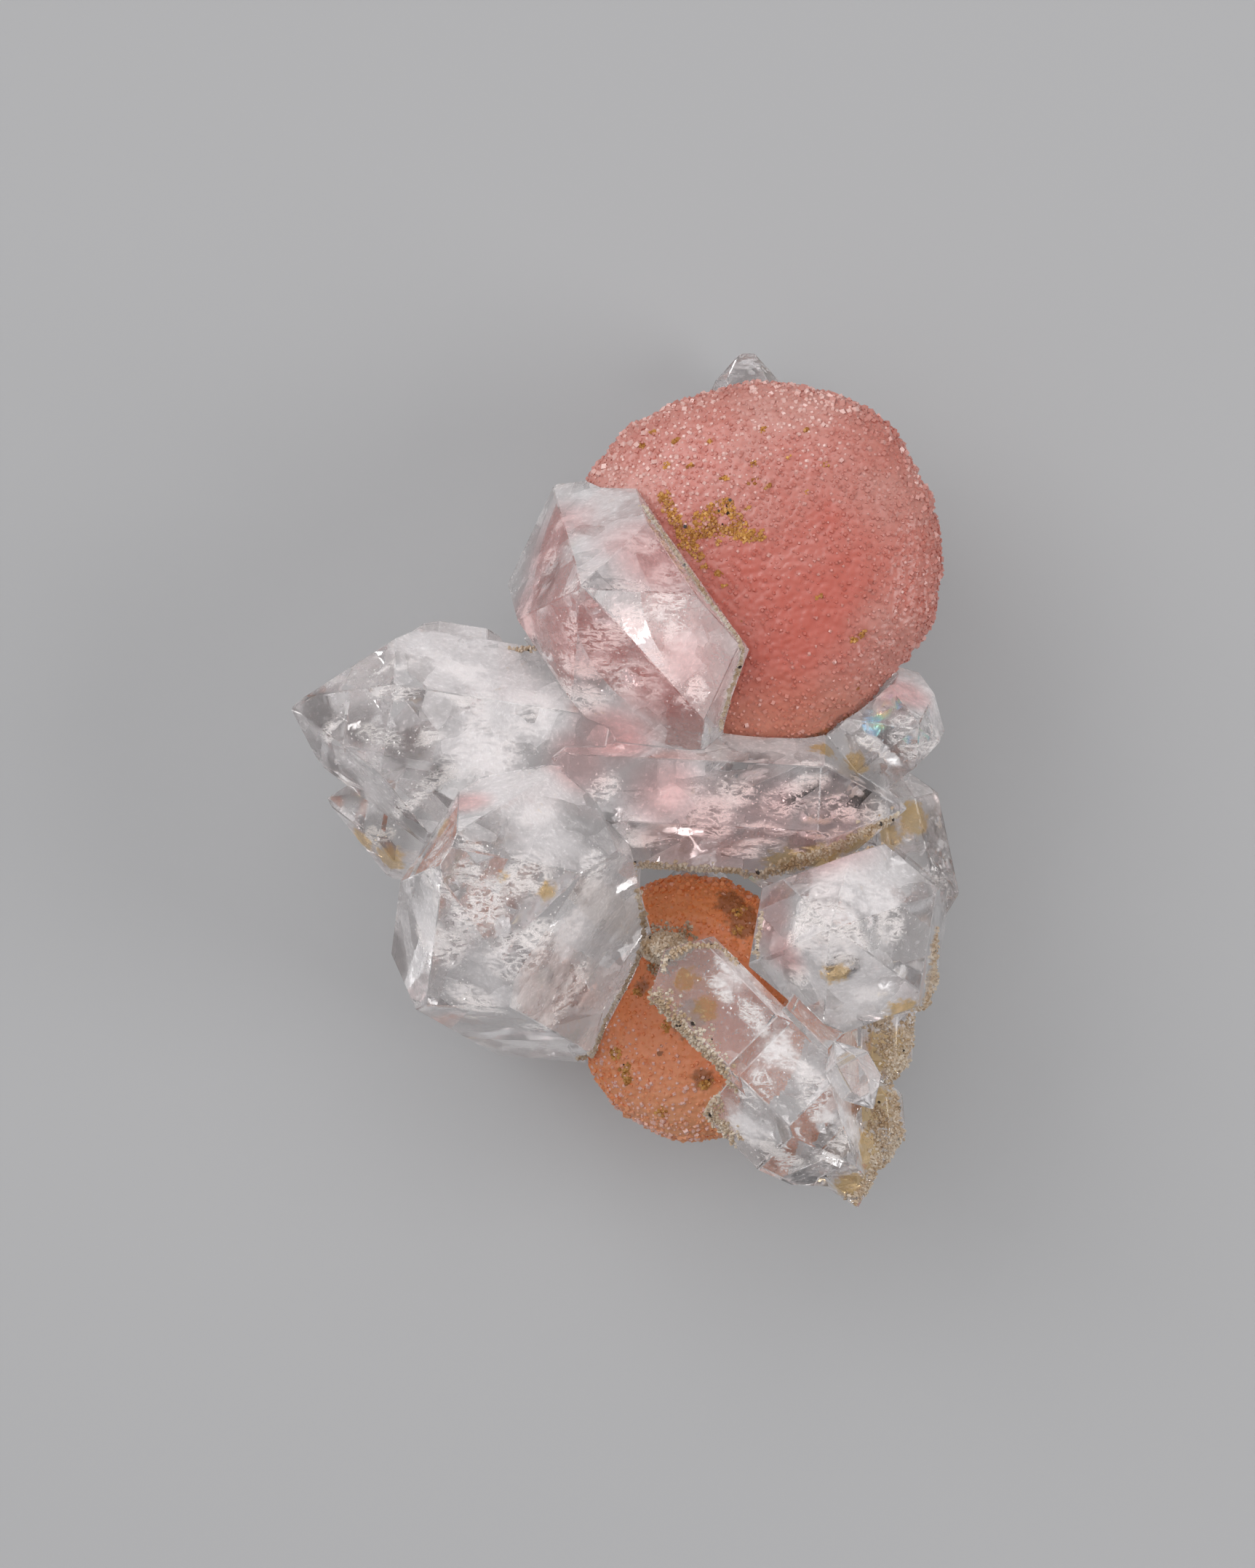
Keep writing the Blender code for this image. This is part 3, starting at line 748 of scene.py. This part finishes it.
def grow_grains(carrier, grain, name, spacing, sizes, seed, covers=(), tilt=25.0):
    """Scatter grains over a surface as a piece of their own. Covers say where they grow."""
    graph, surface = start_growth(name)
    position = graph.add("GeometryNodeInputPosition")
    cover = 1.0
    for part in covers:
        cover = part(graph, position) * cover
    points = graph.add("GeometryNodeDistributePointsOnFaces", {"distribute_method": "POISSON"}, {
        "Mesh": surface, "Distance Min": spacing, "Density Max": 1.8 / spacing ** 2,
        "Density Factor": cover, "Seed": seed})
    set_grains(graph, points, points.out("Rotation"), grain, sizes, seed, tilt)
    return end_growth(name, carrier.data.copy(), graph)


def grow_along(carrier, grain, name, lines, half_width, spacing, sizes, seed):
    """Scatter grains in ragged bands on a surface, along lines seen from above."""
    chance = random.Random(seed)
    places = []
    for line in lines:
        for start, end in zip(line, line[1:]):
            for _ in range(round(math.dist(start, end) * half_width * CRUST_TRIES)):
                share = chance.random()
                spot = [a * (1 - share) + b * share for a, b in zip(start, end)]
                where = top_point(carrier, spot)
                if where is None:
                    continue
                ragged = 0.55 + 0.6 * noise.noise(where * PER_MM * 0.9)
                stray = [chance.gauss(0.0, half_width * ragged * MM) for _ in range(3)]
                places.append(carrier.closest_point_on_mesh(where + Vector(stray))[1])
    mesh = bpy.data.meshes.new(name)
    mesh.from_pydata(places, [], [])
    graph, points = start_growth(name)
    thinned = graph.add("GeometryNodeMergeByDistance", None, {"Geometry": points, "Distance": spacing})
    facing = graph.add("GeometryNodeSampleNearestSurface", {"data_type": "FLOAT_VECTOR"}, {
        "Mesh": shape_of(graph, carrier), "Value": graph.add("GeometryNodeInputNormal")})
    upright = graph.add("FunctionNodeAlignRotationToVector", {"axis": "Z"}, {"Vector": facing})
    set_grains(graph, thinned, upright, grain, sizes, seed, 30.0)
    return end_growth(name, mesh, graph)


def beside(target, far):
    """A cover that is full within a distance of an object, in a ragged band."""
    def cover(graph, position):
        away = distance_to(graph, target)
        ragged = graph.add("ShaderNodeTexNoise", None, {"Vector": position, "Scale": 900.0, "Detail": 3.0})
        return 1.0 - (away / far + (ragged - 0.5) * 1.6).rise(0.7, 1.1)
    return cover


def clear_of(target, gap):
    """A cover that is full farther than a gap from an object."""
    def cover(graph, position):
        return distance_to(graph, target).rise(gap * 0.97, gap * 1.03)
    return cover


def distance_to(graph, target):
    """How far each point lies from an object's faces, or from its edges where it has no faces."""
    settings = {"target_element": "FACES" if len(target.data.polygons) else "EDGES"}
    return graph.add("GeometryNodeProximity", settings, {0: shape_of(graph, target)}).out("Distance")


def shape_of(graph, thing):
    """The shape of another object, for a tree that grows grains."""
    settings = {"transform_space": "ORIGINAL"}
    return graph.add("GeometryNodeObjectInfo", settings, {"Object": thing}).out("Geometry")


def on_rim(middle, axis, low, high):
    """A cover for the rim of a disc: it is full where a point lies far out from the disc's axis."""
    def cover(graph, position):
        away = graph.vector("SUBTRACT", position, tuple(value * MM for value in middle))
        along = graph.vector("DOT_PRODUCT", away, axis, output=1)
        shadow = graph.add("ShaderNodeVectorMath", {"operation": "SCALE"}, {0: axis, "Scale": along})
        flat = graph.vector("SUBTRACT", away, shadow)
        out = graph.add("ShaderNodeVectorMath", {"operation": "LENGTH"}, {0: flat}, output=1)
        return out.rise(low * MM, high * MM)
    return cover


def make_sheets(name, entries, seed, bend):
    """Thin bent sheets inside the crystals, joined into one piece."""
    chance = random.Random(seed)
    sheets = []
    for middle, wide, long, turn, tilt in entries:
        bpy.ops.object.select_all(action="DESELECT")
        slope = (math.radians(tilt), math.radians(chance.uniform(-18, 18)), math.radians(turn))
        bpy.ops.mesh.primitive_grid_add(x_subdivisions=12, y_subdivisions=12, size=1.0)
        sheet = bpy.context.object
        sheet.scale = (wide * MM, long * MM, MM)
        sheet.rotation_euler = slope
        sheet.location = [value * MM for value in middle]
        bpy.ops.object.transform_apply(location=True, rotation=True, scale=True)
        sheets.append(sheet)
    piece = join_pieces(sheets, name)
    add_displacement(piece, name + "_bend", 1.8 * MM, bend)
    keep = piece.modifiers.new("kept inside", "SHRINKWRAP")
    keep.target = bpy.data.objects["quartz_crystals"]
    keep.wrap_method = "NEAREST_SURFACEPOINT"
    keep.wrap_mode = "INSIDE"
    keep.offset = FRACTURE_GAP * MM
    solid = piece.modifiers.new("thickness", "SOLIDIFY")
    solid.thickness = 0.02 * MM
    apply_modifiers(piece)
    return piece


def finish_piece(piece, material):
    """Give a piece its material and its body."""
    piece.data.materials.clear()
    piece.data.materials.append(material)
    for polygon in piece.data.polygons:
        polygon.material_index = 0
    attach(piece, "root")


def colour(name, description, default):
    """A colour that is set in the sidebar."""
    return bpy.props.FloatVectorProperty(
        name=name, description=description, subtype="COLOR", size=4, min=0.0, max=1.0,
        default=(*default, 1.0))


def length(name, description, default, least=0.0001, most=0.002):
    """A length in metres that is set in the sidebar."""
    return bpy.props.FloatProperty(
        name=name, description=description, subtype="DISTANCE", unit="LENGTH", min=least, max=most,
        default=default)


def power(name, description, default):
    """The power of a light in watts."""
    return bpy.props.FloatProperty(
        name=name, description=description, subtype="POWER", unit="POWER", min=0.0, max=1000.0,
        default=default)


def amount(name, description, default, least=0.0, most=1.0):
    """A plain number that is set in the sidebar."""
    return bpy.props.FloatProperty(
        name=name, description=description, min=least, max=most, default=default)


class QuartzSettings(bpy.types.PropertyGroup):
    """Colours and strengths of the quartz."""
    clear_tint: colour("Clear tint", "Colour of the clear quartz", (0.98, 0.96, 0.955))
    # The smoky tint is partly smoky colour and partly painted shade that darkens the clear windows.
    smoky_and_shaded_tint: colour("Smoky tint", "Colour of the clearest windows of the quartz", (0.62, 0.60, 0.59))
    milk_tint: colour("Milky tint", "Colour of the milky quartz", (0.95, 0.91, 0.91))
    # Rose light and rose milk are painted pink light from the discs beneath.
    painted_rose_tint: colour("Rose light", "Colour of the clear quartz over the pink discs", (0.97, 0.64, 0.62))
    painted_rose_milk: colour("Rose milk", "Colour of the milky quartz over the pink discs", (0.86, 0.50, 0.49))
    feather: colour("Feathers", "Colour of the healed fractures", (0.96, 0.93, 0.92))
    flash: colour("Flashes", "Colour of the open fractures", (0.96, 0.95, 0.96))
    cover: amount("Feather cover", "How solid the healed fractures look", 0.95)
    honey: colour("Honey", "Colour of the clear stained quartz", (0.86, 0.52, 0.18))
    ochre: colour("Ochre", "Colour of the cloudy stained quartz", (0.74, 0.50, 0.22))
    depth_colour: colour(
        "Depth colour", "Colour that light takes in the depth of the quartz", (0.86, 0.83, 0.87))
    depth_strength: amount("Depth strength", "How fast light takes that colour, per metre", 3.0, most=200.0)
    ior: amount("Refraction", "How strongly quartz bends light", 1.544, 1.0, 2.0)
    base_milk: amount("Haze", "Milky share all over", 0.14)
    cloud_milk: amount("Clouds", "Milky share of the clouds", 0.64)
    # Milk glow is a painted glow given off by the milky quartz itself.
    painted_milk_glow: amount("Milk glow", "Light that shines up through the milky quartz", 0.06)
    wisp_milk: amount("Wisps", "Milky share of the feathery wisps", 0.30)
    bevel: length("Edge width", "Width of the worn edges", 0.00008, 0.0, 0.001)


class DiscSettings(bpy.types.PropertyGroup):
    """Colours and grain sizes of the pink discs."""
    rose: colour("Rose", "Deep pink of the upper disc", (0.60, 0.135, 0.095))
    pale: colour("Pale pink", "Pale pink of the upper disc", (0.61, 0.255, 0.21))
    salmon: colour("Salmon", "Warmer pink at the foot of the upper disc", (0.68, 0.25, 0.155))
    orange: colour("Orange", "Deep tone of the lower disc", (0.86, 0.24, 0.08))
    peach: colour("Peach", "Pale tone of the lower disc", (0.80, 0.36, 0.17))
    amber: colour("Amber", "Middle tone of the lower disc", (0.95, 0.33, 0.11))
    # The frost colour is partly painted glints on the palest grains.
    frost_and_glint: colour("Frost", "Colour of the palest grains", (0.92, 0.62, 0.56))
    rust: colour("Rust", "Colour of the small rusty spots", (0.38, 0.12, 0.03))
    cell: length("Surface cell", "Size of the faces of the skin", 0.00017)
    dome: length("Dome size", "Width of the low crystals of the skin", 0.00042)
    dome_height: length("Dome height", "Height of the low crystals of the skin", 0.00019, 0.0, 0.001)
    spacing: length("Grain spacing", "Least distance between two grains", 0.00037)
    grain: length("Grain size", "Width of the largest common grains", 0.00044)
    tooth: length("Tooth size", "Width of the largest rhombs on the rims", 0.0008)


class CrustSettings(bpy.types.PropertyGroup):
    """Colours and sizes of the tan and ochre crusts."""
    tan: colour("Tan", "Colour of the tan crust", (0.50, 0.34, 0.20))
    chalk: colour("Chalk", "Colour of its pale grains", (0.80, 0.70, 0.58))
    ochre: colour("Ochre", "Dark tone of the ochre crust", (0.36, 0.13, 0.02))
    # The straw tone of the ochre crust is partly painted highlight on its grains.
    straw_and_highlight: colour("Straw", "Pale tone of the ochre crust", (0.76, 0.40, 0.10))
    speck: colour("Speck", "Colour of the dark specks", (0.03, 0.02, 0.015))
    spacing: length("Grain spacing", "Least distance between two grains", 0.00015, 0.00005, 0.002)
    grain: length("Grain size", "Width of the largest grains", 0.00044, 0.00005, 0.002)


class StageSettings(bpy.types.PropertyGroup):
    """Floor, lights and camera."""
    floor: colour("Floor", "Colour of the floor", (0.36, 0.36, 0.365))
    floor_size: length("Floor size", "Side of the floor", 3.0, 0.1, 10.0)
    floor_glow: amount("Floor glow", "Light that comes up through the floor", 0.30, most=10.0)
    sky: colour("Surroundings", "Colour of the light from all round", (0.83, 0.83, 0.845))
    sky_strength: amount("Surroundings strength", "Strength of the light from all round", 0.20, most=10.0)
    dome_strength: amount(
        "Dome strength", "Extra light from the broad soft light at the upper left", 0.85, most=10.0)
    key_power: power("Key light", "Power of the large light at the upper left", 2.0)
    fill_power: power("Fill light", "Power of the light at the right", 1.9)
    top_power: power("Top light", "Power of the large light above the camera", 0.9)
    eye_height: length("Camera height", "Height of the camera above the floor", 0.822, 0.1, 5.0)
    lens: bpy.props.FloatProperty(
        name="Lens", description="Focal length", subtype="DISTANCE_CAMERA", unit="CAMERA",
        min=10.0, max=500.0, default=148.42)


class SPECIMEN_OT_quartz(bpy.types.Operator):
    """Dress the quartz crystals"""
    bl_idname = "specimen.quartz"
    bl_label = "Quartz crystals"

    def execute(self, context):
        settings = context.scene.quartz_settings
        piece = merged_copy("quartz_cluster", "quartz_crystals")
        if settings.bevel > 0:
            modifier = piece.modifiers.new("worn edges", "BEVEL")
            modifier.width = settings.bevel
            modifier.segments = 1
            modifier.limit_method = "ANGLE"
            modifier.angle_limit = math.radians(25)
            modifier.use_clamp_overlap = False
            modifier.harden_normals = False
            apply_modifiers(piece)
        choose(piece)
        bpy.ops.object.shade_smooth_by_angle(angle=math.radians(12))
        finish_piece(piece, quartz_material(settings))
        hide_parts("quartz_cluster")
        return {"FINISHED"}


class SPECIMEN_OT_fractures(bpy.types.Operator):
    """Lay the feathery, silvery and rainbow fractures inside the crystals"""
    bl_idname = "specimen.fractures"
    bl_label = "Fractures"

    def execute(self, context):
        settings = context.scene.quartz_settings
        feathers = make_sheets("feathers", FEATHERS, 5, 1.6 * MM)
        flake = make_corner("flake", height=0.3)
        flakes = grow_grains(feathers, flake, "flakes", 0.45 * MM, (0.06 * MM, 0.30 * MM), 8, tilt=180.0)
        remove(flake)
        finish_piece(feathers, feather_material(settings))
        finish_piece(flakes, flake_material(settings))
        flashes = make_sheets("flashes", FLASHES + SHELLS, 6, 0.9 * MM)
        finish_piece(flashes, flash_material("flashes", settings))
        rainbows = make_sheets("rainbows", RAINBOWS, 7, 0.8 * MM)
        finish_piece(rainbows, flash_material("rainbows", settings, rainbow=True))
        return {"FINISHED"}


class SPECIMEN_OT_discs(bpy.types.Operator):
    """Give the two pink discs their skin of fine grains"""
    bl_idname = "specimen.discs"
    bl_label = "Pink discs"

    def execute(self, context):
        settings = context.scene.disc_settings
        corner = make_corner("disc_corner", height=0.46, sides=4, top=0.34)
        rhomb = make_rhomb("disc_rhomb")
        upper = (settings.rose, settings.pale, settings.salmon)
        lower = (settings.orange, settings.amber, settings.peach)
        for node, name, disc, tones, spots, seed in (
                ("pink_disc_upper", "upper_disc", UPPER_DISC, upper, (UPPER_RUST, UPPER_FROST), 3),
                ("pink_disc_lower", "lower_disc", LOWER_DISC, lower, (LOWER_RUST, LOWER_FROST), 11)):
            self.dress(node, name, (corner, rhomb), disc, tones, spots, seed)
        remove(corner)
        remove(rhomb)
        return {"FINISHED"}

    def dress(self, node, name, grains, disc, tones, spots, seed):
        """One disc: an even skin with low lumps and domes, fine grains over it and teeth on its rim."""
        settings = bpy.context.scene.disc_settings
        corner, rhomb = grains
        middle, radius, axis = disc
        skin = merged_copy(node, name)
        remesh = skin.modifiers.new("even faces", "REMESH")
        remesh.mode = "VOXEL"
        remesh.voxel_size = settings.cell
        apply_modifiers(skin)
        add_displacement(skin, name + "_lumps", 1.6 * MM, 0.14 * MM)
        shrink = skin.modifiers.new("room for grains", "DISPLACE")
        shrink.strength = -0.04 * MM
        shrink.mid_level = 0.0
        apply_modifiers(skin)
        add_domes(skin, name + "_domes", settings.dome, settings.dome_height)
        apply_modifiers(skin)
        choose(skin)
        bpy.ops.object.shade_smooth()
        free = clear_of(bpy.data.objects["quartz_crystals"], TOOTH_GAP * MM)
        smooth = [middle[0] + radius * 0.3, middle[1] - radius * 0.35, middle[2]]
        spread = on_rim(smooth, axis, radius * -0.35, radius * 0.85)
        ring = on_rim(middle, axis, radius * 0.35, radius * 0.98)
        edge = on_rim(middle, axis, radius * 0.90, radius * 0.97)
        grain, tooth = settings.grain, settings.tooth
        pieces = [
            grow_grains(skin, corner, name + "_fine", settings.spacing, (grain * 0.4, grain), seed,
                        (spread,), tilt=20.0),
            grow_grains(skin, rhomb, name + "_coarse", tooth * 0.9, (tooth * 0.4, tooth * 0.72), seed + 6,
                        (free, ring), tilt=50.0),
            grow_grains(skin, rhomb, name + "_teeth", tooth * 0.62, (tooth * 0.5, tooth), seed + 3,
                        (free, edge)),
        ]
        loose = join_pieces(pieces, name + "_grains")
        finish_piece(skin, disc_material(name, settings, tones, disc, spots))
        finish_piece(loose, disc_material(name + "_grains", settings, tones, disc, spots))
        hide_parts(node)


class SPECIMEN_OT_crust(bpy.types.Operator):
    """Grow the tan crust along the contacts and edges of the quartz"""
    bl_idname = "specimen.crust"
    bl_label = "Tan crust"

    def execute(self, context):
        settings = context.scene.crust_settings
        quartz = bpy.data.objects["quartz_crystals"]
        corner = make_corner("crust_corner", height=0.75, sides=4, top=0.22)
        sizes = (settings.grain * 0.35, settings.grain)
        pieces = []
        for index, (half_width, lines) in enumerate(CRUST_LINES.items()):
            pieces.append(grow_along(quartz, corner, "crust_on_edges", lines, half_width,
                                     settings.spacing, sizes, 21 + index))
        pieces.append(grow_along(bpy.data.objects["lower_disc"], corner, "crust_on_foot", FOOT_LINES, 0.7,
                                 settings.spacing, sizes, 27))
        lump = self.make_lump(*CORNER_LUMP)
        spacing = settings.spacing * 1.5
        pieces.append(grow_grains(lump, corner, "crust_on_lump", spacing, sizes, 29, tilt=40.0))
        pieces.append(lump)
        piece = join_pieces(pieces, "tan_crust")
        material = crust_material("tan_crust", settings.chalk, settings.tan, settings.speck)
        finish_piece(piece, material)
        remove(corner)
        return {"FINISHED"}

    def make_lump(self, place, size):
        """A rough lump that carries crust grains, from its middle and half sizes in millimetres."""
        bpy.ops.object.select_all(action="DESELECT")
        bpy.ops.mesh.primitive_ico_sphere_add(subdivisions=5, radius=1.0)
        lump = bpy.context.object
        lump.scale = [value * MM for value in size]
        lump.location = [value * MM for value in place]
        bpy.ops.object.transform_apply(location=True, rotation=True, scale=True)
        add_displacement(lump, "crust_lump", 0.8 * MM, 0.6 * MM)
        apply_modifiers(lump)
        return lump


class SPECIMEN_OT_ochre(bpy.types.Operator):
    """Grow the ochre crust on the faces of the pink discs"""
    bl_idname = "specimen.ochre"
    bl_label = "Ochre crust"

    def execute(self, context):
        settings = context.scene.crust_settings
        upper = bpy.data.objects["upper_disc"]
        lower = bpy.data.objects["lower_disc"]
        rhomb = make_rhomb("ochre_rhomb")
        sizes = (settings.grain * 0.4, settings.grain * 1.05)
        pieces = []
        for name, lines, spots, disc, reach in (
                ("ochre_branch", OCHRE_LINES, [], upper, 0.62 * MM),
                ("ochre_spots", [RIM_LINE], OCHRE_SPOTS, upper, 0.24 * MM),
                ("lower_spots", [], LOWER_SPOTS, lower, 0.45 * MM)):
            guide = make_guide(name + "_guide", lines, spots, disc)
            pieces.append(grow_grains(disc, rhomb, name, settings.spacing, sizes, 41,
                                      (beside(guide, reach),), tilt=60.0))
            remove(guide)
        piece = join_pieces(pieces, "ochre_crust")
        # The pale straw grains are partly painted highlight.
        material = crust_material("ochre_crust", settings.straw_and_highlight, settings.ochre, settings.speck)
        finish_piece(piece, material)
        remove(rhomb)
        return {"FINISHED"}


class SPECIMEN_OT_stage(bpy.types.Operator):
    """Set the pale floor, the soft lights and the camera"""
    bl_idname = "specimen.stage"
    bl_label = "Stage"

    def execute(self, context):
        settings = context.scene.stage_settings
        bpy.ops.object.select_all(action="DESELECT")
        bpy.ops.mesh.primitive_plane_add(size=settings.floor_size, location=(0, 0, -0.05 * MM))
        floor = context.object
        floor.name = "floor"
        bpy.ops.object.transform_apply(location=True, rotation=True, scale=True)
        material, graph = new_material("floor")
        end_material(graph, graph.add("ShaderNodeBsdfPrincipled", None, {
            "Base Color": settings.floor, "Roughness": 0.6, "Emission Color": settings.floor,
            "Emission Strength": settings.floor_glow}))
        floor.data.materials.append(material)
        world = bpy.data.worlds.new("studio")
        world.use_nodes = True
        world.node_tree.nodes.clear()
        sky = Graph(world.node_tree)
        way = sky.add("ShaderNodeTexCoord").out("Generated")
        bright = sky.vector("DOT_PRODUCT", way, DOME_WAY, output=1).rise(0.25, 1.0)
        light = sky.add("ShaderNodeBackground", None, {
            "Color": settings.sky, "Strength": settings.sky_strength + bright * settings.dome_strength})
        sky.add("ShaderNodeOutputWorld", None, {"Surface": light})
        context.scene.world = world
        for name, place, size, power_name in LIGHTS:
            self.add_light(name, place, size, getattr(settings, power_name))
        bpy.ops.object.camera_add(location=(*EYE_PLACE, settings.eye_height), rotation=(0, 0, 0))
        camera = context.object
        camera.name = "camera"
        camera.data.sensor_fit = "VERTICAL"
        camera.data.sensor_height = 24.0
        camera.data.lens = settings.lens
        context.scene.camera = camera
        context.scene.view_settings.view_transform = "Standard"
        return {"FINISHED"}

    def add_light(self, name, place, size, watts):
        """A square area light that points at the specimen."""
        aim = (Vector((0, 0, 0.015)) - Vector(place)).to_track_quat("-Z", "Y").to_euler()
        bpy.ops.object.light_add(type="AREA", location=place, rotation=aim)
        light = bpy.context.object
        light.name = name
        light.data.size = size
        light.data.energy = watts


class SPECIMEN_PT_pieces(bpy.types.Panel):
    """Lists the pieces of the specimen and their settings"""
    bl_idname = "SPECIMEN_PT_pieces"
    bl_label = "Specimen"
    bl_space_type = "VIEW_3D"
    bl_region_type = "UI"
    bl_category = "Specimen"

    def draw(self, context):
        scene = context.scene
        for operator, group in STEPS:
            box = self.layout.box()
            box.operator(operator.bl_idname)
            settings = getattr(scene, group)
            for name in settings.__annotations__:
                box.prop(settings, name)


STEPS = [
    (SPECIMEN_OT_quartz, "quartz_settings"),
    (SPECIMEN_OT_fractures, "quartz_settings"),
    (SPECIMEN_OT_discs, "disc_settings"),
    (SPECIMEN_OT_crust, "crust_settings"),
    (SPECIMEN_OT_ochre, "crust_settings"),
    (SPECIMEN_OT_stage, "stage_settings"),
]
GROUPS = {
    "quartz_settings": QuartzSettings,
    "disc_settings": DiscSettings,
    "crust_settings": CrustSettings,
    "stage_settings": StageSettings,
}
CLASSES = [*GROUPS.values(), *[operator for operator, _ in STEPS], SPECIMEN_PT_pieces]


def register():
    for entry in CLASSES:
        bpy.utils.register_class(entry)
    for name, group in GROUPS.items():
        setattr(bpy.types.Scene, name, bpy.props.PointerProperty(type=group))


def unregister():
    for name in GROUPS:
        delattr(bpy.types.Scene, name)
    for entry in reversed(CLASSES):
        bpy.utils.unregister_class(entry)


def main():
    """Build every piece."""
    register()
    bpy.ops.specimen.quartz()
    bpy.ops.specimen.fractures()
    bpy.ops.specimen.discs()
    bpy.ops.specimen.crust()
    bpy.ops.specimen.ochre()
    bpy.ops.specimen.stage()


if __name__ == "__main__":
    main()
